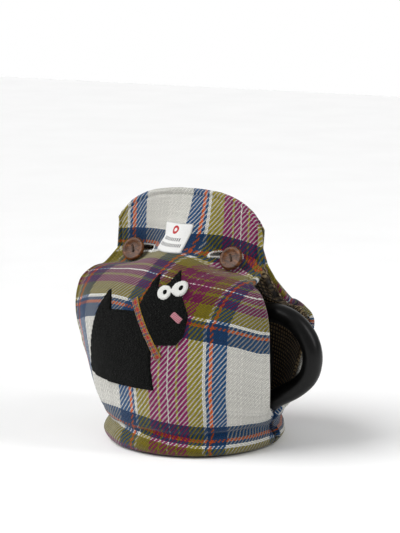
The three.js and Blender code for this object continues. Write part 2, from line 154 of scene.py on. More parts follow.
# the dog and the label, as outlines in x and z
DOG_BODY = [
    (-43, 143), (-55, 126), (-60, 115), (-68, 91), (-72, 67),
    (-69, 62), (-58, 60), (-30, 59), (7, 59), (5, 79),
    (5, 93), (7.6, 95.5), (-9.4, 127.5), (-38.7, 125.5), (-39.5, 135),
]
DOG_HEAD = [
    (2.5, 160), (-7, 138), (-9.9, 130.5), (6.9, 98.9), (27, 100),
    (34, 108.5), (37.5, 127), (31, 140), (18.5, 162.5), (13, 150),
    (6, 148.5),
]
COLLAR = [(-17, 135.3), (-10.9, 138.6), (15, 89.7), (9, 86.4)]
TONGUE = [(25.5, 130), (33.5, 124), (30, 119), (22, 125.5)]
EYE_LOBES = [(13.8, 143.4), (26, 146.8)]
EYE_SIZE = (6.6, 5.8)
PUPIL_RADIUS = 1.8
PUPIL_OFF = (1.2, 0.2)
LABEL = [(-19.5, 172), (9.5, 172), (9.5, 194.5), (-19.5, 194.5)]
LABEL_MIDDLE = (-5.0, 183.25)

# where a button is sewn on, and how it leans and turns
BUTTON_AT = (49, -22, 167.5)
BUTTON_TILT = math.radians(28)
BUTTON_TURN = math.radians(25)
HOLE_OFFSET = 2.6
HOLE_RADIUS = 1.1
STITCH_RADIUS = 0.34
SEAM_STITCH_RADIUS = 0.32
BUTTON_FLOOR = 3.1
BUTTON_PROFILE = [
    (0, 0), (4, 0), (7, 0.15), (9.2, 0.7), (10.4, 1.5),
    (10.8, 2.4), (10.6, 3.2), (9.8, 3.9), (8.9, 4.1), (7.8, 4.0),
    (6.5, 3.7), (5, 3.4), (3, 3.2), (0, 3.1),
]

# the pot: its outer face as radii and heights, then the lid's, then the handle's and spout's middle lines
FOOT_RADIUS = 45
RIM_RADIUS = 43
RIM_Z = 131
WALL = 4.5
BELLY = [(47, 2), (60, 19), (67.5, 41), (70, 66), (67, 91), (58.5, 110), (49, 121), (43, 127)]
# the holes behind the spout: height, spacing and radius
STRAINER = (58, 10, 3)
SEAT_Z = RIM_Z + 0.3
LID_DOME = [
    (42, SEAT_Z), (42.4, SEAT_Z + 1.6), (41, 135.6), (36, 141.3), (25, 147.8),
    (12, 151.2), (8, 152.2),
]
LID_TOP_Z = 153.3
FLANGE_RADIUS = 37.5
VENT_Y = 24
VENT_RADIUS = 1.6
KNOB_RADIUS = 14
KNOB_Z = 169
HANDLE_LINE = [
    (46, 117), (64, 119), (82, 119), (98, 113.5), (110.5, 101),
    (116, 85), (113, 68), (101, 55), (84, 45), (72, 39),
    (56, 34),
]
HANDLE_HALF_THICK = 8.5
HANDLE_HALF_WIDE = 10
SPOUT_LINE = [(-50, 52), (-66, 58), (-83, 72), (-95, 95), (-107, 121)]
SPOUT_RADII = (23, 10.5)
SPOUT_WALL = 4

# the camera stands this far round to the right of the front; lengths in metres
CAMERA_AZIMUTH = math.radians(29)
CAMERA_DISTANCE = 1.7
CAMERA_HEIGHT = 0.467
CAMERA_AIM_Z = 0.153
CAMERA_RIGHT = 0.0044
CAMERA_LENS = 132

# the floor in mm, the lights in metres and watts
FLOOR_REACH = 3000
SUN_POWER = 2.8
SUN_SPREAD = math.radians(50)
SUN_WAY = (1.0, 0.9, -1.3)
RIM_LIGHT_AT = (1.2, 0.1, 0.9)
RIM_LIGHT_AIM = (0, 0, 0.1)
RIM_LIGHT_SIZE = (0.3, 1.0)
RIM_LIGHT_POWER = 6
# the world's strength in front of the object and behind it, and the cosines between which it changes
ROOM_STRENGTH = (0.33, 1.0)
WALL_EDGE = (0.75, 0.95)


# --- the panel's surface ---


def row_field(column, t):
    """Catmull-Rom between the rows, for one column of ROWS."""
    i = np.clip(np.floor(t).astype(int), 0, BUTTON_ROW - 1)
    a, b, c, d = (ROWS[np.clip(i + k, 0, BUTTON_ROW), column] for k in (-1, 0, 1, 2))
    u = t - i
    return b + 0.5 * u * (c - a + u * (2 * a - 5 * b + 4 * c - d + u * (3 * (b - c) + d - a)))


def bulge(s):
    """1 over the knob, falling to 0 at the buttons."""
    return np.cos(np.pi / 2 * np.minimum(1, np.abs(s) / BULGE_REACH)) ** 2


def row_point(s, t):
    c, zc, ex, ey, ez, knob = (row_field(k, t) for k in range(6))
    half = 2 * np.arctan(np.maximum(c - ey, 0.01) / ex)
    radius = ex / np.sin(half)
    arc_x = radius * np.sin(s * half)
    arc_y = ey + radius * (np.cos(s * half) - np.cos(half))
    over_y = ey + (c - ey) * bulge(s)
    rise = (1 - knob) * (1 - s * s) + knob * bulge(s)
    x = arc_x + knob * (ex * s - arc_x)
    y = arc_y + knob * (over_y - arc_y)
    return np.stack([x, -y, ez + (zc - ez) * rise], -1)


def flap_edge(s):
    angle = s * FLAP_CORNER
    power = 2 / FLAP_SQUARENESS
    x = FLAP_HALF_WIDTH * np.sign(s) * np.abs(np.sin(angle)) ** power
    z = FLAP_BASE_Z + (FLAP_TOP_Z - FLAP_BASE_Z) * np.cos(angle) ** power
    return np.stack([x, np.full_like(x, -FLAP_Y), z], -1)


def face(s, t):
    """The front panel's outer face as CAD has it: s from -1 to 1 across, t in rows up from the hem."""
    s, t = np.broadcast_arrays(np.asarray(s, float), np.asarray(t, float))
    low = row_point(s, np.minimum(t, BUTTON_ROW))
    edge = flap_edge(s)
    u = np.clip((t - BUTTON_ROW) / (TOP_ROW - BUTTON_ROW), 0, 1)[..., None]
    high = low + (edge - low) * u
    high[..., 1] = (edge + (low - edge) * (1 - u) ** 1.6)[..., 1]
    return np.where((t <= BUTTON_ROW)[..., None], low, high)


# --- meshes ---


def unit(vectors):
    return vectors / np.linalg.norm(vectors, axis=-1, keepdims=True)


def placed(name, data):
    """A new object in the scene."""
    obj = bpy.data.objects.new(name, data)
    bpy.context.scene.collection.objects.link(obj)
    return obj


def mesh(name, vertices, faces, uv=None, sharp=None):
    """A piece from vertices in mm; uv, one pair per vertex, is kept as the map "cloth"."""
    data = bpy.data.meshes.new(name)
    data.from_pydata([tuple(v) for v in np.asarray(vertices) * MM], [], [tuple(f) for f in faces])
    if uv is not None:
        loops = np.empty(len(data.loops), int)
        data.loops.foreach_get("vertex_index", loops)
        layer = data.uv_layers.new(name="cloth")
        layer.data.foreach_set("uv", np.asarray(uv, np.float32)[loops].ravel())
    data.shade_smooth()
    if sharp:
        data.set_sharp_from_angle(angle=math.radians(sharp))
    return placed(name, data)


def cut(obj, *cutters):
    """Takes the cutters' shapes out of obj's mesh."""
    for cutter in cutters:
        modifier = obj.modifiers.new("cut", "BOOLEAN")
        modifier.operation = "DIFFERENCE"
        modifier.object = cutter
    evaluated = obj.evaluated_get(bpy.context.evaluated_depsgraph_get())
    data = bpy.data.meshes.new_from_object(evaluated)
    obj.modifiers.clear()
    obj.data = data
    for cutter in cutters:
        bpy.data.objects.remove(cutter)
    return obj


def quads(index):
    """Faces of a grid of vertex numbers, outward for rows that go up and columns that go across."""
    return np.stack([index[:-1, :-1], index[:-1, 1:], index[1:, 1:], index[1:, :-1]], -1).reshape(-1, 4)


def tube(rings):
    """Vertices and faces of a solid with a ring of points at each step and a cap on both ends."""
    steps, sides = rings.shape[:2]
    index = np.arange(steps * sides).reshape(steps, sides)
    faces = [tuple(q) for q in quads(np.concatenate([index, index[:, :1]], 1))]
    return rings.reshape(-1, 3), faces + [tuple(index[0, ::-1]), tuple(index[-1])]


def turned(name, profile, segments=128, sharp=35):
    """A solid of revolution about Z from radii and heights; it starts and ends near the axis."""
    angle = np.linspace(0, 2 * np.pi, segments, endpoint=False)
    r, z = np.array(profile, float).T
    r = np.maximum(r, 0.02)
    x, y = np.outer(r, np.cos(angle)), np.outer(r, np.sin(angle))
    rings = np.stack([x, y, np.broadcast_to(z[:, None], x.shape)], -1)
    return mesh(name, *tube(rings), sharp=sharp)


def curve(points, count):
    """Points along a smooth line through the given ones."""
    p = np.array(points, float)
    p = np.concatenate([[2 * p[0] - p[1]], p, [2 * p[-1] - p[-2]]])
    u = np.linspace(0, len(points) - 1 - 1e-9, count)
    i = u.astype(int)
    f = (u - i)[:, None]
    a, b, c, d = (p[i + k] for k in range(4))
    return b + 0.5 * f * (c - a + f * (2 * a - 5 * b + 4 * c - d + f * (3 * (b - c) + d - a)))


def rings_along(line, thick, wide, sides=64):
    """Oval rings square to a line in the X, Z plane; thick and wide are half sizes at each point."""
    p = np.stack([line[:, 0], np.zeros(len(line)), line[:, 1]], -1)
    way = unit(np.gradient(p, axis=0))
    out = np.stack([way[:, 2], np.zeros(len(p)), -way[:, 0]], -1)
    turn = np.linspace(0, 2 * np.pi, sides, endpoint=False)
    thick = np.broadcast_to(thick, len(p))[:, None, None]
    wide = np.broadcast_to(wide, len(p))[:, None, None]
    sideways = np.array([0, 1, 0])
    return (
        p[:, None]
        + thick * np.cos(turn)[None, :, None] * out[:, None]
        + wide * np.sin(turn)[None, :, None] * sideways
    )


def strand(points, radius, sides=10):
    """Vertices and faces of a round thread along points in space, with tapered ends."""
    p = np.array(points, float)
    way = unit(np.gradient(p, axis=0))
    side = unit(np.cross(way, [0.3, 0.2, 1]))
    up = np.cross(way, side)
    turn = np.linspace(0, 2 * np.pi, sides, endpoint=False)
    from_end = np.minimum(np.arange(len(p)), np.arange(len(p))[::-1])
    size = radius * np.minimum(1, 0.35 + 3 * from_end / len(p))
    around = np.cos(turn)[None, :, None] * side[:, None] + np.sin(turn)[None, :, None] * up[:, None]
    return tube(p[:, None] + size[:, None, None] * around)


def gathered(name, parts):
    """One piece from several (vertices, faces)."""
    faces = []
    start = 0
    for vertices, part_faces in parts:
        faces += [tuple(int(k) + start for k in corners) for corners in part_faces]
        start += len(vertices)
    return mesh(name, np.concatenate([vertices for vertices, _ in parts]), faces)


def drill(radius, low, high):
    """A round cutter along Z."""
    return turned("drill", [(0, low), (radius, low), (radius, high), (0, high)], 32)


# --- cloth ---


def spaced(low, high, count, rim):
    """Even steps from low to high, closer together within rim of each end, where the cloth rounds over."""
    ease = rim * np.linspace(0, 1, 9)[:-1] ** 2
    return np.concatenate([low + ease, np.linspace(low + rim, high - rim, count), (high - ease)[::-1]])


def along(points, axis):
    """Running length of a grid of points along one axis."""
    step = np.linalg.norm(np.diff(points, axis=axis), axis=-1)
    pad = [(0, 0), (0, 0)]
    pad[axis] = (1, 0)
    return np.pad(np.cumsum(step, axis=axis), pad)


def normals_of(points):
    return unit(np.cross(np.gradient(points, axis=1), np.gradient(points, axis=0)))


def smoothstep(low, high, x):
    u = np.clip((x - low) / (high - low), 0, 1)
    return u * u * (3 - 2 * u)


def lumps(points, scale, seed):
    """Smooth noise between -1 and 1 at each point; scale is the size of its lumps in mm."""
    shift = Vector((seed * 7.1, seed * 3.3, seed * 5.7))
    values = [noise.noise(Vector(p) / scale + shift) for p in points.reshape(-1, 3)]
    return np.array(values).reshape(points.shape[:-1])


class Panel:
    """One of the cosy's two panels, inset mm in from its edges, drawn as the front one."""

    def __init__(self, seed, inset=0, back=False):
        self.back = back
        reach = 1 - inset / 100
        s = spaced(-reach, reach, PANEL_COLUMNS, 0.035)
        t = spaced(inset / 9, TOP_ROW - inset / 11, PANEL_ROWS, 0.35)
        self.s, self.t = np.meshgrid(s, t)
        self.flat = face(self.s, self.t)
        self.sew_sides()
        self.hang()
        across = along(self.flat, 1)
        up = along(self.flat, 0)
        self.side = np.minimum(across, across[:, -1:] - across)
        self.edge = np.minimum(np.minimum(self.side, up), up[-1:] - up)
        middle = 0.5 * (across[:, len(s) // 2 - 1] + across[:, len(s) // 2])
        self.across = across - middle[:, None]
        self.up = up + inset
        lift = self.folds(seed)
        self.points = self.flat + normals_of(self.flat) * lift[..., None]
        self.normals = normals_of(self.points)

    def sew_sides(self):
        """Draws the two panels' edges together below the side slots."""
        closed = (1 - smoothstep(1.9, 2.8, self.t)) * np.abs(self.s) ** 8
        self.flat[..., 1] += (-0.3 - self.flat[..., 1]) * closed

    def hang(self):
        """Slips the front flap a little to the left; drops the back's shoulders and narrows its flap."""
        s, t, flat = self.s, self.t, self.flat
        if not self.back:
            flat[..., 0] -= FRONT_FLAP_SLIP * smoothstep(9.5, 12, t) * smoothstep(0, 1, s)
            return
        shoulder = smoothstep(5.2, 8.4, t) * (1 - smoothstep(9.2, 11.8, t))
        flat[..., 2] -= BACK_DROOP * shoulder * smoothstep(0.25, 0.85, np.abs(s))
        flat[..., 2] -= BACK_FLAP_DROP * smoothstep(11, 14, t)
        flat[..., 0] *= 1 - BACK_FLAP_NARROWING * smoothstep(9.5, 12, t)

    def folds(self, seed):
        """How far the cloth stands off the plain face, in mm."""
        t, p = self.t, self.flat
        loose = smoothstep(1.0, 3.0, t)
        d = 1.2 * lumps(p, 40, seed) * loose
        d += 0.5 * lumps(p, 15, seed + 1) * (0.4 + 0.6 * loose)
        d += 0.14 * lumps(p, 5, seed + 2)
        # a line of topstitching runs round the open edges, a few mm in
        open_edge = np.minimum(self.edge, self.side) + 40 * (1 - smoothstep(1.8, 3.2, t))
        d -= 1.7 * np.exp(-(((open_edge - 5.2) / 1.0) ** 2))
        # the rolled hem's ring puckers where the crease pulls it in
        pucker = np.sin(self.across / 9.5 + 2 * np.sin(self.across / 31 + seed))
        d += 0.9 * pucker * np.exp(-(((t - 1.6) / 0.8) ** 2))
        d -= (2.2 + 0.9 * pucker) * np.exp(-(((t - 2.1 - 0.12 * pucker) / 0.3) ** 2))
        return d

    def threads(self):
        """Warp and weft thread numbers at each point, counted from mirror lines of the checks."""
        x, z = self.flat[..., 0], self.flat[..., 2]
        on_flap = smoothstep(8, 10, self.t)
        place = self.across * (1 - on_flap) + x * on_flap
        pitch = np.interp(self.t, (7, 10), (WARP_PITCH["body"], WARP_PITCH["flap"]))
        warp = (place - np.interp(self.t, SHIFT_ROWS, SHIFTS)) / pitch
        on_flap = smoothstep(8.5, 11.5, self.t)
        height = FLAP_WEFT + FLAP_LEAN * (z - FLAP_WEFT_Z)
        climb = self.up * (1 - on_flap) + height * on_flap
        sag = WEFT_SAG * smoothstep(-0.5, 0.5, self.s) * (1 - on_flap)
        sag += (WEFT_SAG / 2 + np.where(x > 0, *FLAP_SAG) * (x / FLAP_HALF_WIDTH) ** 2) * on_flap
        weft = (climb + sag - WEFT_PIVOT) / WEFT_PITCH
        return np.stack([warp, weft], -1)

    def shell(self, start, thick):
        """Vertices and faces of a layer that begins start below the face, with rounded edges."""
        radius = thick / 2
        inward = np.maximum(radius - self.edge, 0)
        rounded = radius - np.sqrt(np.maximum(radius**2 - inward**2, 0))
        outer = self.points - self.normals * (start + rounded)[..., None]
        inner = self.points - self.normals * (start + thick - rounded)[..., None]
        rows, columns = self.s.shape
        front = np.arange(rows * columns).reshape(rows, columns)
        back = front.copy()
        inner_shape = (rows - 2, columns - 2)
        back[1:-1, 1:-1] = rows * columns + np.arange(math.prod(inner_shape)).reshape(inner_shape)
        vertices = np.concatenate([outer.reshape(-1, 3), inner[1:-1, 1:-1].reshape(-1, 3)])
        return vertices, np.concatenate([quads(front), quads(back)[:, ::-1]])

    def with_inner(self, values):
        """One value for each of shell's vertices, from one for each point of the face."""
        return np.concatenate([values.reshape(-1, 2), values[1:-1, 1:-1].reshape(-1, 2)])


def fold_front(obj):
    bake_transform(obj)


def fold_back(obj):
    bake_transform(obj)


# --- buttonholes ---


def teardrop(side, grow, count=20):
    """The buttonhole's outline in x and z, narrow end towards the middle."""
    (x0, z0, r0), (x1, z1, r1) = SLIT_TIP, SLIT_END
    tip = np.linspace(np.pi / 2, 3 * np.pi / 2, count)
    end = np.linspace(-np.pi / 2, np.pi / 2, count)
    x = np.concatenate([x0 + (r0 + grow) * np.cos(tip), x1 + (r1 + grow) * np.cos(end)])
    z = np.concatenate([z0 + (r0 + grow) * np.sin(tip), z1 + (r1 + grow) * np.sin(end)])
    return np.stack([side * x, z], -1)[::side]


def slit(side):
    """A cutter for one buttonhole, through both layers of the front flap but not the back one."""
    outline = teardrop(side, 0)[::-1]
    ends = [np.insert(outline, 1, y, axis=1) for y in (-90, -1)]
    return mesh("slit", *tube(np.stack(ends)))


# --- laid on pieces ---


class Ground:
    """The front cover's outer face, to lay patches on."""

    def __init__(self, panel):
        rows, columns = panel.s.shape
        index = np.arange(rows * columns).reshape(rows, columns)
        self.tree = BVHTree.FromPolygons(panel.points.reshape(-1, 3).tolist(), quads(index).tolist())

    def at(self, x, z, height):
        """The point that height above the cloth at x, z."""
        hit, normal, _, _ = self.tree.ray_cast(Vector((x, -300, z)), Vector((0, 1, 0)))
        return np.array(hit + normal * height)


def resampled(outline, step):
    """The outline's points with more between them, no more than step apart."""
    points = []
    for a, b in zip(outline, outline[1:] + outline[:1]):
        a, b = np.array(a, float), np.array(b, float)
        count = max(1, round(np.linalg.norm(b - a) / step))
        points += [a + (b - a) * k / count for k in range(count)]
    return np.array(points)


def distance_to(outline, points):
    a, b = outline, np.roll(outline, -1, axis=0)
    ab = b - a
    ap = points[:, None] - a[None]
    u = np.clip((ap * ab).sum(-1) / (ab * ab).sum(-1), 0, 1)
    return np.linalg.norm(ap - u[..., None] * ab, axis=-1).min(1)


def patch(name, ground, outline, low, high, step=1.6, rim=1.0, rough=0.0):
    """A shape cut to outline, in x and z, laid on the cloth from height low to high with rounded edges."""
    border = resampled([tuple(p) for p in outline], step)
    if rough:
        border += [[rough * noise.noise(Vector((x, z, k)) * 0.9) for k in (3, 9)] for x, z in border]
    (x0, z0), (x1, z1) = border.min(0), border.max(0)
    inside = np.stack(np.meshgrid(np.arange(x0, x1, step), np.arange(z0, z1, step)), -1).reshape(-1, 2)
    inside = inside[distance_to(border, inside) > 0.55 * step]
    points = [Vector(p) for p in np.concatenate([border, inside])]
    flat, _, faces, *_ = geometry.delaunay_2d_cdt(points, [], [list(range(len(border)))], 1, 1e-4)
    used = sorted({k for f in faces for k in f})
    number = {k: i for i, k in enumerate(used)}
    flat = np.array([flat[k] for k in used])
    top = [tuple(number[k] for k in f) for f in faces]
    edge = distance_to(border, flat)
    dome = np.sqrt(1 - (1 - np.minimum(edge / rim, 1)) ** 2)
    front = [ground.at(x, z, low + (high - low) * k) for (x, z), k in zip(flat, dome)]
    inner = {k: len(front) + i for i, k in enumerate(np.flatnonzero(edge > 1e-3))}
    back = [ground.at(*flat[k], low) for k in inner]
    under = [tuple(inner.get(k, k) for k in f[::-1]) for f in top]
    uv = np.concatenate([flat, flat[list(inner)]])
    return mesh(name, front + back, top + under, uv)


# --- shaders ---


class Look:
    """A material, with short calls that add its nodes. Colours are linear."""

    def __init__(self, name, roughness=0.9, **constants):
        self.material = bpy.data.materials.new(name)
        self.material.use_nodes = True
        self.nodes = self.material.node_tree.nodes
        self.shader = self.nodes["Principled BSDF"]
        self.shader.inputs["Roughness"].default_value = roughness
        for key, value in constants.items():
            self.shader.inputs[key.replace("_", " ")].default_value = value

    def put(self, socket, value):
        if isinstance(value, bpy.types.NodeSocket):
            self.material.node_tree.links.new(value, socket)
        elif value is not None:
            socket.default_value = value

    def node(self, kind, inputs=(), **settings):
        node = self.nodes.new(kind)
        for key, value in settings.items():
            setattr(node, key, value)
        for key, value in enumerate(inputs):
            self.put(node.inputs[key], value)
        return node

    def math(self, operation, *values):
        return self.node("ShaderNodeMath", values, operation=operation).outputs[0]

    def cloth(self):
        """The piece's own cloth coordinates, as a vector."""
        return self.node("ShaderNodeUVMap", uv_map="cloth").outputs[0]

    def place(self):
        """Object coordinates, in metres."""
        return self.node("ShaderNodeTexCoord").outputs["Object"]

    def stretched(self, vector, scale, turn=(0, 0, 0)):
        return self.node("ShaderNodeMapping", (vector, (0, 0, 0), turn, scale)).outputs[0]

    def split(self, vector):
        return self.node("ShaderNodeSeparateXYZ", (vector,)).outputs

    def noise(self, vector, scale, detail=2.0, roughness=0.5):
        node = self.node("ShaderNodeTexNoise")
        self.put(node.inputs["Vector"], vector)
        node.inputs["Scale"].default_value = scale
        node.inputs["Detail"].default_value = detail
        node.inputs["Roughness"].default_value = roughness
        return node.outputs["Fac"]

    def between(self, value, low, high, to_low=0.0, to_high=1.0):
        """value taken from low..high to to_low..to_high, and held there outside it."""
        return self.node("ShaderNodeMapRange", (value, low, high, to_low, to_high)).outputs[0]

    def mix(self, factor, a, b, blend="MIX"):
        node = self.node("ShaderNodeMix", data_type="RGBA", blend_type=blend)
        for key, value in ((0, factor), (6, a), (7, b)):
            self.put(node.inputs[key], value)
        return node.outputs[2]

    def vector(self, operation, *values):
        return self.node("ShaderNodeVectorMath", values, operation=operation).outputs[0]

    def darkened(self, color, light):
        """A colour times light, which is one number."""
        grey = self.node("ShaderNodeCombineColor", (light, light, light)).outputs[0]
        return self.mix(1.0, color, grey, "MULTIPLY")

    def product(self, a, b):
        return self.math("MULTIPLY", a, b)

    def ramp(self, value, stops, interpolation="LINEAR"):
        node = self.node("ShaderNodeValToRGB", (value,))
        node.color_ramp.interpolation = interpolation
        elements = node.color_ramp.elements
        elements.remove(elements[1])
        elements[0].position, elements[0].color = stops[0]
        for position, color in stops[1:]:
            elements.new(position).color = color
        return node.outputs[0]

    def bump(self, height, distance, strength=1.0):
        node = self.node("ShaderNodeBump")
        node.inputs["Strength"].default_value = strength
        node.inputs["Distance"].default_value = distance
        self.put(node.inputs["Height"], height)
        self.put(self.shader.inputs["Normal"], node.outputs[0])

    def color(self, value):
        self.put(self.shader.inputs["Base Color"], value)
        return self.material


def sett(look, number, half):
    """The colour of a thread from its number. The sett's last colour is a wide block of cream."""
    stops = []
    at = 0
    for color, count in HALF_SETT + [(CREAM, 0)]:
        stops.append((at / half, color))
        at += count
    return look.ramp(look.math("DIVIDE", look.math("PINGPONG", number, half), half), stops, "CONSTANT")


def brightness(look, color):
    return look.node("ShaderNodeRGBToBW", (color,)).outputs[0]


def thread_height(look, across, phase):
    """A thread's height: round across, and waving over two threads and under two along its length."""
    f = look.math("SUBTRACT", look.math("FRACT", across), 0.5)
    round_ = look.math("SQRT", look.math("MULTIPLY_ADD", look.product(f, f), -3.9, 1.0))
    wave = look.math("SINE", look.product(phase, math.pi / 2))
    return look.math("MULTIPLY_ADD", wave, 0.8, round_)


def wavering(look, plain):
    """Cloth coordinates with threads that wander by up to half a thread."""
    waver = look.node("ShaderNodeTexNoise", (plain,))
    waver.inputs["Scale"].default_value = 0.09
    waver.inputs["Detail"].default_value = 3
    offset = look.vector("SUBTRACT", waver.outputs["Color"], (0.5, 0.5, 0.5))
    return look.vector("ADD", plain, look.vector("MULTIPLY", offset, (1.1, 1.1, 0)))


def tweed():
    """A two-and-two twill in a heathered tartan, by the warp and weft numbers in the cloth map."""
    look = Look("tweed", 0.95, Sheen_Weight=0.22, Sheen_Roughness=0.45, Specular_IOR_Level=0.2)
    where = wavering(look, look.cloth())
    u, v, _ = look.split(where)
    u = look.product(u, WARP_FINENESS)
    i = look.math("FLOOR", u)
    j = look.math("FLOOR", v)
    warp = sett(look, look.math("DIVIDE", i, WARP_FINENESS), WARP_HALF_SETT)
    weft = sett(look, j, WEFT_HALF_SETT)
    warp_phase = look.math("FLOORED_MODULO", look.math("SUBTRACT", v, i), 4.0)
    weft_phase = look.math("FLOORED_MODULO", look.math("SUBTRACT", u, j), 4.0)
    weft_phase = look.math("SUBTRACT", weft_phase, 1.0)
    paler = look.math("SUBTRACT", brightness(look, weft), brightness(look, warp))
    lead = look.math("MULTIPLY_ADD", paler, DARK_LEAD, WARP_LEAD)
    warp_height = look.math("ADD", thread_height(look, u, warp_phase), lead)
    weft_height = thread_height(look, v, weft_phase)
    warp_on_top = look.math("GREATER_THAN", warp_height, weft_height)
    height = look.product(look.math("MAXIMUM", warp_height, weft_height), 0.5)
    top = look.mix(warp_on_top, weft, warp)
    beneath = look.mix(warp_on_top, warp, weft)
    color = look.mix(SHOW_THROUGH, top, beneath, "MULTIPLY")
    # each thread's own tone, the heather of its fibres, and painted shade in the hollows between threads
    weft_on_top = look.math("SUBTRACT", 1.0, warp_on_top)
    numbers = (look.product(warp_on_top, i), look.product(weft_on_top, j), 0.5)
    own = look.node("ShaderNodeTexWhiteNoise", noise_dimensions="3D")
    look.put(own.inputs["Vector"], look.node("ShaderNodeCombineXYZ", numbers).outputs[0])
    shade = look.between(own.outputs["Value"], 0, 1, 0.84, 1.14)
    heather = look.between(look.noise(where, 1.7, 3, 0.7), 0.3, 0.7, 0.72, 1.26)
    # painted shade: the colour is darkened where the threads lie low, between and under one another
    painted_gap_shade = look.between(height, 0.3, 0.95, 0.2, 1.0)
    color = look.darkened(color, look.product(look.product(shade, heather), painted_gap_shade))
    strands = look.stretched(where, (1, 3.1, 1), (0, 0, 0.7))
    fibre = look.between(look.noise(strands, 1.3, 4, 0.75), 0.62, 0.74)
    color = look.mix(look.product(fibre, 0.3), color, CREAM)
    fuzz = look.noise(where, 6.0, 2, 0.8)
    look.bump(look.math("MULTIPLY_ADD", fuzz, 0.35, height), 0.0006, 0.8)
    return look.color(color)


def lining_cloth():
    """Dark cloth with a small waffle of beige dots, placed by the tweed's thread numbers."""
    look = Look("lining cloth", 0.92, Sheen_Weight=0.15, Specular_IOR_Level=0.2)
    u, v, _ = look.split(look.cloth())
    across, up = (look.between(look.math("PINGPONG", value, 1.3), 0.45, 0.75) for value in (u, v))
    dot = look.product(across, up)
    cloudy = look.noise(look.cloth(), 0.8, 3)
    plain = look.ramp(cloudy, [(0.3, rgb(58, 47, 37)), (0.7, rgb(96, 82, 66))])
    color = look.mix(look.product(dot, 0.9), plain, rgb(196, 172, 132))
    look.bump(look.math("MULTIPLY_ADD", look.noise(look.cloth(), 4.0), 0.4, dot), 0.0004, 0.6)
    return look.color(color)


def felt(name, dark, light, lint, amount):
    """Pressed wool: cloudy, with short stray fibres. Cloth coordinates are mm."""
    look = Look(name, 1.0, Sheen_Weight=0.02, Sheen_Roughness=0.5, Specular_IOR_Level=0.03)
    at = look.cloth()
    cloudy = look.noise(at, 0.9, 4, 0.75)
    color = look.ramp(cloudy, [(0.32, dark), (0.68, light)])
    strands = []
    for turn, scale in ((0.5, 1.1), (-0.9, 1.4), (1.7, 1.2)):
        long = look.stretched(at, (scale, scale * 7, 1), (0, 0, turn))
        strands.append(look.between(look.noise(long, 0.7, 2, 0.5), 0.62, 0.67))
    fibres = look.math("MAXIMUM", look.math("MAXIMUM", strands[0], strands[1]), strands[2])
    color = look.mix(look.product(fibres, amount), color, lint)
    look.bump(look.math("ADD", look.noise(at, 3.0, 4, 0.8), look.product(fibres, 0.4)), 0.0005, 0.7)
    return look.color(color)


def ribbon():
    """A narrow checked ribbon with plain yellow edges, woven along the dog's collar."""
    look = Look("ribbon", 0.7, Sheen_Weight=0.2, Specular_IOR_Level=0.3)
    (x0, z0), (x1, z1) = COLLAR[0], COLLAR[3]
    turn = math.atan2(z1 - z0, x1 - x0)
    u, v, _ = look.split(look.stretched(look.cloth(), (1, 1, 1), (0, 0, -turn)))
    middle, half_width = collar_across()
    v = look.math("SUBTRACT", v, middle)
    lengthwise = look.math("FRACT", look.math("DIVIDE", u, 6.2))
    crosswise = look.math("FRACT", look.math("DIVIDE", v, 4.4))
    red = rgb(150, 8, 24)
    gold = rgb(190, 150, 20)
    blue = rgb(8, 48, 100)
    green = rgb(62, 96, 30)
    stops = [(0.0, red), (0.34, gold), (0.42, blue), (0.68, green), (0.8, gold), (0.86, red)]
    diagonal = look.math("FRACT", look.math("DIVIDE", look.math("ADD", u, v), 1.1))
    check = look.mix(
        look.math("LESS_THAN", diagonal, 0.5),
        look.ramp(lengthwise, stops, "CONSTANT"),
        look.ramp(crosswise, stops, "CONSTANT"),
    )
    edge = look.math("GREATER_THAN", look.math("ABSOLUTE", v), half_width - 0.9)
    color = look.mix(edge, check, gold)
    threads = look.math("SINE", look.product(u, 2 * math.pi / 0.7))
    shade = look.between(look.noise(look.cloth(), 2.5, 3), 0.3, 0.7, 0.8, 1.2)
    color = look.darkened(color, shade)
    look.bump(threads, 0.00015, 0.7)
    return look.color(color)


def ribbed(name, dark, light, pitch, turn):
    """Corded cloth with ribs that pitch apart, in mm."""
    look = Look(name, 0.85, Sheen_Weight=0.25, Specular_IOR_Level=0.25)
    u, _, _ = look.split(look.stretched(look.cloth(), (1, 1, 1), (0, 0, turn)))
    rib = look.between(look.math("SINE", look.product(u, 2 * math.pi / pitch)), -1, 1)
    grain = look.noise(look.cloth(), 2.4, 4, 0.7)
    # painted shade: the ribs' grooves are darker and their crests lighter, on top of the grain's random
    # tone
    grain_and_groove_shade = look.math("MULTIPLY_ADD", grain, 0.5, look.product(rib, 0.5))
    color = look.ramp(grain_and_groove_shade, [(0.2, dark), (0.75, light)])
    look.bump(rib, 0.0004, 0.8)
    return look.color(color)


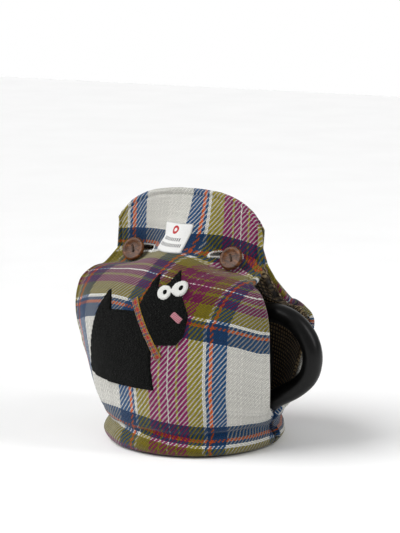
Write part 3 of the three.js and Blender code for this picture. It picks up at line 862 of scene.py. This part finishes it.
def label_cloth():
    """A white woven label with a red roundel over two rows of short dark strokes, which say nothing."""
    look = Look("label cloth", 0.6, Sheen_Weight=0.1, Specular_IOR_Level=0.35)
    at = look.cloth()
    x, z, _ = look.split(at)
    x = look.math("SUBTRACT", x, LABEL_MIDDLE[0])
    z = look.math("SUBTRACT", z, LABEL_MIDDLE[1])
    weave = look.product(*(look.math("SINE", look.product(value, 14.0)) for value in (x, z)))
    base = look.ramp(look.noise(at, 2.0, 3), [(0.3, rgb(206, 206, 204)), (0.7, rgb(240, 240, 238))])
    up = look.math("SUBTRACT", z, 5.5)
    away = look.math("SQRT", look.math("ADD", look.product(x, x), look.product(up, up)))
    ring = look.product(look.math("LESS_THAN", away, 3.4), look.math("GREATER_THAN", away, 1.5))
    color = look.mix(ring, base, rgb(176, 28, 34))
    for row, reach, pitch in ((-1.8, 9.5, 1.9), (-6.2, 11.5, 1.5)):
        tall = look.math("LESS_THAN", look.math("ABSOLUTE", look.math("SUBTRACT", z, row)), 1.2)
        short = look.math("LESS_THAN", look.math("ABSOLUTE", x), reach)
        gap = look.math("LESS_THAN", look.math("FRACT", look.math("DIVIDE", x, pitch)), 0.55)
        ink = look.product(look.product(tall, short), gap)
        color = look.mix(look.product(ink, 0.85), color, rgb(40, 36, 38))
    look.bump(weave, 0.0001, 0.5)
    return look.color(color)


def thread_look(name, dark, light):
    """Twisted sewing thread."""
    look = Look(name, 0.75, Sheen_Weight=0.2, Specular_IOR_Level=0.3)
    at = look.stretched(look.place(), (1, 1, 1), (0.6, 0.5, 0.8))
    x, _, _ = look.split(at)
    twist = look.between(look.math("SINE", look.product(x, 2 * math.pi / 0.0006)), -1, 1)
    # painted shade: the twist's grooves are darker and its plies lighter, on top of a random tone
    grain_and_groove_shade = look.math("MULTIPLY_ADD", look.noise(at, 900.0), 0.5, look.product(twist, 0.5))
    color = look.ramp(grain_and_groove_shade, [(0.1, dark), (0.8, light)])
    look.bump(twist, 0.0001, 0.8)
    return look.color(color)


def coconut():
    """Polished coconut shell: dark brown with pale fibres and flecks."""
    look = Look("coconut shell", 0.3, Coat_Weight=0.05, Coat_Roughness=0.15, Specular_IOR_Level=0.18)
    at = look.place()
    broad = look.noise(look.stretched(at, (1, 1, 2.5), (0, 0.4, 0)), 180.0, 5, 0.65)
    color = look.ramp(broad, [(0.3, rgb(40, 20, 8)), (0.52, rgb(82, 46, 20)), (0.75, rgb(136, 84, 40))])
    flecks = look.noise(look.stretched(at, (1, 1, 6), (0.3, 0.9, 0.2)), 700.0, 3, 0.6)
    color = look.mix(look.between(flecks, 0.62, 0.72, 0, 0.6), color, rgb(190, 154, 106))
    look.put(look.shader.inputs["Roughness"], look.between(flecks, 0.3, 0.7, 0.2, 0.42))
    look.bump(look.math("ADD", broad, look.product(flecks, 0.4)), 0.0002, 0.5)
    return look.color(color)


def glaze():
    """A near black satin glaze, faintly mottled and a little orange-peeled."""
    look = Look("black glaze", 0.34, Coat_Weight=0.04, Coat_Roughness=0.2, Specular_IOR_Level=0.2)
    at = look.place()
    mottle = look.noise(at, 90.0, 5, 0.6)
    color = look.ramp(mottle, [(0.3, rgb(5, 5, 5)), (0.7, rgb(13, 13, 13))])
    specks = look.between(look.noise(at, 1500.0, 2), 0.7, 0.76)
    color = look.mix(look.product(specks, 0.3), color, rgb(70, 68, 64))
    look.put(look.shader.inputs["Roughness"], look.between(mottle, 0.3, 0.7, 0.3, 0.44))
    look.bump(look.noise(at, 160.0, 3), 0.0003, 0.35)
    return look.color(color)


def bare_floor():
    look = Look("floor", 0.95, Specular_IOR_Level=0.1)
    cloudy = look.noise(look.place(), 8.0)
    return look.color(look.ramp(cloudy, [(0.3, rgb(250, 250, 250)), (0.7, rgb(253, 253, 253))]))


# --- the cosy ---


def layer(name, panel, start, thick):
    """A layer of a panel as one piece. The front one has its buttonholes cut."""
    vertices, faces = panel.shell(start, thick)
    if panel.back:
        vertices = vertices * [1, -1, 1]
        faces = faces[:, ::-1]
    piece = mesh(name, vertices, faces, panel.with_inner(panel.threads()))
    if panel.back:
        fold_back(piece)
    else:
        cut(piece, slit(-1), slit(1))
        fold_front(piece)
    return piece


def make_covers(looks):
    """The two padded covers and their linings. Returns the front cover's face to lay things on."""
    front = Panel(FRONT_SEED)
    back = Panel(BACK_SEED, back=True)
    for side, panel in (("front", front), ("back", back)):
        piece = layer(f"cosy_{side}", panel, 0, THICK)
        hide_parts(f"{side}_tweed", f"{side}_wadding", f"{side}_top_tweed", f"{side}_top_wadding")
        piece.data.materials.append(looks["tweed"])
    front_inside = Panel(FRONT_SEED, inset=LINING_INSET)
    back_inside = Panel(BACK_SEED, inset=LINING_INSET, back=True)
    for side, panel in (("front", front_inside), ("back", back_inside)):
        piece = layer(f"cosy_{side}_lining", panel, LINING_FROM, LINING_THICK)
        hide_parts(f"{side}_lining", f"{side}_top_lining")
        piece.data.materials.append(looks["lining"])
    return Ground(front)


# --- the dog, the label and the fastenings ---


def collar_across():
    """Where the collar's middle line is, measured square to its length, and its half width."""
    (x0, z0), (x1, z1), _, (x3, z3) = COLLAR
    turn = math.atan2(z3 - z0, x3 - x0)
    edges = [z * math.cos(turn) - x * math.sin(turn) for x, z in ((x0, z0), (x1, z1))]
    return sum(edges) / 2, abs(edges[1] - edges[0]) / 2


def oval(x, z, wide, high, count=28):
    turn = np.linspace(0, 2 * np.pi, count, endpoint=False)
    return [(x + wide * math.cos(a), z + high * math.sin(a)) for a in turn]


def both_eyes():
    """The outline of two lobes of white felt cut in one, narrow between them."""
    (x0, z0), (x1, z1) = EYE_LOBES
    wide, high = EYE_SIZE
    middle = ((x0 + x1) / 2, (z0 + z1) / 2)
    outline = []
    for a in np.linspace(0, 2 * np.pi, 64, endpoint=False):
        way = Vector((math.cos(a), math.sin(a)))
        reach = 0
        for x, z in EYE_LOBES:
            # how far out along this way the lobe's edge is
            for r in np.linspace(0, 16, 161):
                p = (middle[0] + way.x * r - x) / wide, (middle[1] + way.y * r - z) / high
                if p[0] ** 2 + p[1] ** 2 < 1:
                    reach = max(reach, r)
        outline.append((middle[0] + way.x * reach, middle[1] + way.y * reach))
    return outline


def dress(obj, look, body, slot, *nodes):
    """Gives a piece its material and the body it rides on, and hides the CAD nodes it stands for. The slot
    argument is not used.
    """
    obj.data.materials.clear()
    obj.data.materials.append(look)
    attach(obj, body)
    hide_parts(*nodes)


def make_dog(looks, ground):
    cut_felt = {"step": 1.5, "rim": 1.3, "rough": 0.5}
    body = patch("felt_dog_body", ground, DOG_BODY, -0.6, 1.6, **cut_felt)
    dress(body, looks["black felt"], COSY, "black_felt", "dog_body")
    head = patch("felt_dog_head", ground, DOG_HEAD, -0.4, 2.2, **cut_felt)
    head.data.materials.append(looks["black felt"])
    fold_front(head)
    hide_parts("dog_head")
    collar = patch("dog_collar_ribbon", ground, COLLAR, 1.6, 2.9, step=1.0, rim=0.6)
    dress(collar, looks["ribbon"], COSY, "ribbon", "dog_collar")
    tongue = patch("dog_tongue_cloth", ground, TONGUE, 1.6, 3.2, step=0.8, rim=0.8, rough=0.3)
    dress(tongue, looks["pink"], COSY, "pink_cloth", "dog_tongue")
    eyes = patch("dog_eye_felt", ground, both_eyes(), 1.4, 3.2, step=0.8, rim=1.2, rough=0.2)
    dress(eyes, looks["white felt"], COSY, "white_felt", "dog_eyes")
    for (x, z), side in zip(EYE_LOBES, ("left", "right")):
        disc = oval(x + PUPIL_OFF[0], z + PUPIL_OFF[1], PUPIL_RADIUS, PUPIL_RADIUS)
        pupil = patch(f"dog_pupil_felt_{side}", ground, disc, 3.1, 3.9, step=0.5, rim=0.7)
        dress(pupil, looks["black felt"], COSY, "black_felt", f"dog_pupil_{side}")


def make_side_seam(looks, side, name):
    """Ladder stitches that draw the two panels' edges together below the handle or the spout."""
    parts = []
    path = [(-4, -2.2, -0.7), (-0.6, -2.0, -0.4), (0.5, 0, 0), (-0.6, 2.0, 0.4), (-4, 2.2, 0.7)]
    for z in np.linspace(4, 22, 9):
        x = row_field(2, np.interp(z, ROWS[:4, 4], range(4))) - 0.9
        line = [(side * (x + u), y, z + w) for u, y, w in path]
        parts.append(strand(curve(line, 15), SEAM_STITCH_RADIUS, 8))
    piece = gathered(f"side_seam_stitches_{name}", parts)
    dress(piece, looks["brown thread"], COSY, "dark_thread", f"side_seam_{name}")


def make_label(looks, ground):
    label = patch("woven_label", ground, LABEL, 0.2, 0.9, step=1.0, rim=0.5)
    dress(label, looks["label"], FRONT_TOP, "label", "label")


def make_stitching(looks, ground, side, name):
    """White stitches side by side round a buttonhole, each from its cut edge out over the cloth."""
    inner = resampled([tuple(p) for p in teardrop(side, 0.1)], 0.8)
    parts = []
    for k, (x, z) in enumerate(inner):
        before, after = inner[k - 1], inner[(k + 1) % len(inner)]
        way = after - before
        out = np.array([way[1], -way[0]]) / np.linalg.norm(way)
        reach = 1.3 + 0.2 * math.sin(k * 2.4)
        path = []
        for u, height in ((0.1, -3.0), (0.05, -0.6), (0.3, 0.4), (0.6, 0.5), (1.0, 0.0)):
            px, pz = np.array([x, z]) + out * reach * u
            path.append(ground.at(px, pz, height))
        parts.append(strand(curve(path, 9), STITCH_RADIUS, 8))
    piece = gathered(f"buttonhole_stitches_{name}", parts)
    piece.data.materials.append(looks["white thread"])
    fold_front(piece)
    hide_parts(f"buttonhole_{name}")


def button_place(side):
    """From the button's own frame, face up +Z, to where it is sewn on."""
    x, y, z = BUTTON_AT
    out = Vector((0, -math.cos(BUTTON_TILT), math.sin(BUTTON_TILT)))
    turn = Vector((0, 0, 1)).rotation_difference(out).to_matrix().to_4x4()
    return Matrix.Translation(Vector((side * x, y, z)) * MM) @ turn @ Matrix.Rotation(BUTTON_TURN, 4, "Z")


def make_button(looks, side, name):
    line = curve(BUTTON_PROFILE, 60)
    disc = turned(f"coconut_button_{name}", line, sharp=60)
    cutters = []
    for end in (-1, 1):
        cutter = drill(HOLE_RADIUS, -3, 8)
        cutter.data.transform(Matrix.Translation((0, end * HOLE_OFFSET * MM, 0)))
        cutters.append(cutter)
    cut(disc, *cutters)
    disc.data.transform(button_place(side))
    body = f"{name}_button"
    dress(disc, looks["coconut"], body, "coconut", f"button_{name}")
    loops = []
    top = BUTTON_FLOOR + 0.45
    back = -0.5
    reach = HOLE_OFFSET + 0.1
    for x in (-0.42, 0, 0.42):
        path = [
            (0.5 * x, -reach, back),
            (0.5 * x, -reach, 1.2),
            (x, -reach + 0.25, top - 0.25),
            (x * 1.3, 0, top + 0.1),
            (x, reach - 0.25, top - 0.25),
            (0.5 * x, reach, 1.2),
            (0.5 * x, reach, back),
        ]
        loops.append(strand(curve(path, 30), STITCH_RADIUS))
        behind = [(x, -reach, back), (x, 0, back - 0.2), (x, reach, back)]
        loops.append(strand(curve(behind, 9), STITCH_RADIUS))
    thread = gathered(f"button_stitches_{name}", loops)
    thread.data.transform(button_place(side))
    dress(thread, looks["brown thread"], body, "dark_thread", f"button_thread_{name}")


# --- the teapot ---


def belly(count=60, inward=0.0):
    line = curve(BELLY, count)
    way = unit(np.gradient(line, axis=0))
    return line + np.stack([-way[:, 1], way[:, 0]], -1) * inward


def pot_shape():
    """Everything inside the pot's outer face, to trim the handle and the spout with."""
    profile = [(0, 0), (FOOT_RADIUS, 0), *belly(), (RIM_RADIUS, RIM_Z), (0, RIM_Z)]
    return turned("pot_shape", profile)


def make_pot(looks):
    inside = [p for p in belly(50, WALL)[::-1] if p[1] > WALL + 2]
    lip = RIM_RADIUS - WALL
    rim = [(RIM_RADIUS, RIM_Z - 1), (RIM_RADIUS - 0.8, RIM_Z), (lip + 0.8, RIM_Z), (lip, RIM_Z - 0.8)]
    foot = [(0, 1.2), (FOOT_RADIUS - 7, 1.2), (FOOT_RADIUS - 6, 0), (FOOT_RADIUS, 0)]
    pot = turned("pot", [*foot, *belly(), *rim, *inside, (FOOT_RADIUS - 4, WALL), (0, WALL)])
    z, pitch, radius = STRAINER
    sideways = Matrix.Rotation(math.pi / 2, 4, "Y")
    ring = [(pitch * math.cos(a), pitch * math.sin(a)) for a in np.arange(6) * math.pi / 3]
    cutters = []
    for y, up in [(0, 0)] + ring:
        cutter = drill(radius, -20, 20)
        cutter.data.transform(Matrix.Translation(Vector((-70, y, z + up)) * MM) @ sideways)
        cutters.append(cutter)
    cut(pot, *cutters)
    dress(pot, looks["glaze"], COSY, "glaze", "pot_body")


def make_handle(looks):
    rings = rings_along(curve(HANDLE_LINE, 90), HANDLE_HALF_THICK, HANDLE_HALF_WIDE, 48)
    grip = mesh("pot_handle", *tube(rings), sharp=60)
    cut(grip, pot_shape())
    dress(grip, looks["glaze"], COSY, "glaze", "handle")


def make_spout(looks):
    line = curve(SPOUT_LINE, 60)
    u = np.linspace(0, 1, 60)
    root, tip = SPOUT_RADII
    half = root + (tip - root) * np.minimum(1, u * 1.25) ** 0.7
    outside = rings_along(line, half, half)
    inside = rings_along(line, half - SPOUT_WALL, half - SPOUT_WALL)
    lip = (outside[-1] + inside[-1]) / 2 + (line[-1] - line[-2])[[0, 0, 1]] * [1, 0, 1] * 0.4
    rings = np.concatenate([outside, [lip], inside[::-1], outside[:1]])
    index = np.arange(rings.shape[0] * rings.shape[1]).reshape(rings.shape[:2])
    index[-1] = index[0]
    faces = quads(np.concatenate([index, index[:, :1]], 1))
    pipe = mesh("pot_spout", rings[:-1].reshape(-1, 3), faces, sharp=60)
    cut(pipe, pot_shape())
    dress(pipe, looks["glaze"], COSY, "glaze", "spout")


def make_lid(looks):
    flange = FLANGE_RADIUS
    under = [(0, SEAT_Z + 8), (20, SEAT_Z + 6), (flange - 4, SEAT_Z - 1), (flange - 4, SEAT_Z - 8)]
    under += [(flange, SEAT_Z - 8)]
    top = [(7, LID_TOP_Z - 0.4), (6.4, LID_TOP_Z), (0, LID_TOP_Z)]
    lid = turned("pot_lid_dome", [*under, (flange, SEAT_Z), *curve(LID_DOME, 40), *top])
    vent = drill(VENT_RADIUS, -20, 20)
    vent.data.transform(Matrix.Translation(Vector((0, VENT_Y, SEAT_Z + 12)) * MM))
    cut(lid, vent)
    dress(lid, looks["glaze"], LID, "glaze", "lid")
    turns = np.linspace(-0.92, math.pi / 2, 30)
    ball = [(KNOB_RADIUS * math.cos(a), KNOB_Z + KNOB_RADIUS * math.sin(a)) for a in turns]
    foot = LID_TOP_Z + 0.3
    knob = turned("pot_lid_knob", [(0, foot), (6.5, foot), (6.6, foot + 2), *ball])
    dress(knob, looks["glaze"], LID, "glaze", "lid_knob")


# --- the scene ---


def paint_nodes(looks):
    """The CAD nodes that stay get their materials."""
    for name in ("button_shank_left", "button_shank_right"):
        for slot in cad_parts[name].material_slots:
            slot.material = looks["brown thread"]


def pointed(way):
    """The rotation of a light or a camera that looks along way."""
    return Vector(way).to_track_quat("-Z", "Y").to_euler()


def make_lights():
    """Broad soft light from the front left, and a weak panel that picks out the right edge."""
    sun = bpy.data.lights.new("key", "SUN")
    sun.energy = SUN_POWER
    sun.angle = SUN_SPREAD
    placed("key", sun).rotation_euler = pointed(SUN_WAY)
    panel = bpy.data.lights.new("rim", "AREA")
    panel.shape = "RECTANGLE"
    panel.size, panel.size_y = RIM_LIGHT_SIZE
    panel.energy = RIM_LIGHT_POWER
    rim = placed("rim", panel)
    rim.location = RIM_LIGHT_AT
    rim.rotation_euler = pointed(Vector(RIM_LIGHT_AIM) - Vector(RIM_LIGHT_AT))


def make_studio():
    """A pale floor, and a world with a bright wall behind the object and a dimmer room elsewhere."""
    bpy.context.scene.view_settings.view_transform = "Standard"
    corners = [(x * FLOOR_REACH, y * FLOOR_REACH, 0) for x, y in ((-1, -1), (1, -1), (1, 1), (-1, 1))]
    floor = mesh("floor", corners, [(0, 1, 2, 3)])
    floor.location.z = -0.0005
    floor.data.materials.append(bare_floor())
    world = bpy.data.worlds.new("studio")
    world.use_nodes = True
    nodes, links = world.node_tree.nodes, world.node_tree.links
    nodes["Background"].inputs["Color"].default_value = (1, 1, 1, 1)
    facing = nodes.new("ShaderNodeVectorMath")
    facing.operation = "DOT_PRODUCT"
    facing.inputs[1].default_value = (-math.sin(CAMERA_AZIMUTH), math.cos(CAMERA_AZIMUTH), 0)
    strength = nodes.new("ShaderNodeMapRange")
    for key, value in enumerate(WALL_EDGE + ROOM_STRENGTH, 1):
        strength.inputs[key].default_value = value
    links.new(nodes.new("ShaderNodeTexCoord").outputs["Generated"], facing.inputs[0])
    links.new(facing.outputs["Value"], strength.inputs[0])
    links.new(strength.outputs[0], nodes["Background"].inputs["Strength"])
    bpy.context.scene.world = world


def make_camera():
    right = Vector((math.cos(CAMERA_AZIMUTH), math.sin(CAMERA_AZIMUTH), 0))
    back = Vector((math.sin(CAMERA_AZIMUTH), -math.cos(CAMERA_AZIMUTH), 0))
    aim = CAMERA_RIGHT * right + Vector((0, 0, CAMERA_AIM_Z))
    at = CAMERA_RIGHT * right + CAMERA_DISTANCE * back + Vector((0, 0, CAMERA_HEIGHT))
    data = bpy.data.cameras.new("camera")
    data.lens = CAMERA_LENS
    camera = placed("camera", data)
    camera.location = at
    camera.rotation_euler = pointed(aim - at)
    bpy.context.scene.camera = camera


looks = {
    "tweed": tweed(),
    "lining": lining_cloth(),
    "black felt": felt("black felt", rgb(4, 5, 5), rgb(17, 18, 18), rgb(120, 120, 116), 0.3),
    "white felt": felt("white felt", rgb(205, 205, 200), rgb(236, 236, 232), rgb(250, 250, 250), 0.5),
    "pink": ribbed("pink cloth", rgb(132, 66, 78), rgb(205, 142, 152), 1.3, 0.9),
    "ribbon": ribbon(),
    "label": label_cloth(),
    "white thread": thread_look("white thread", rgb(190, 190, 186), rgb(244, 244, 240)),
    "brown thread": thread_look("brown thread", rgb(30, 19, 12), rgb(74, 50, 32)),
    "coconut": coconut(),
    "glaze": glaze(),
}
ground = make_covers(looks)
make_dog(looks, ground)
make_label(looks, ground)
for side, name in ((-1, "left"), (1, "right")):
    make_stitching(looks, ground, side, name)
    make_button(looks, side, name)
    make_side_seam(looks, side, name)
make_pot(looks)
make_handle(looks)
make_spout(looks)
make_lid(looks)
paint_nodes(looks)
make_studio()
make_lights()
make_camera()
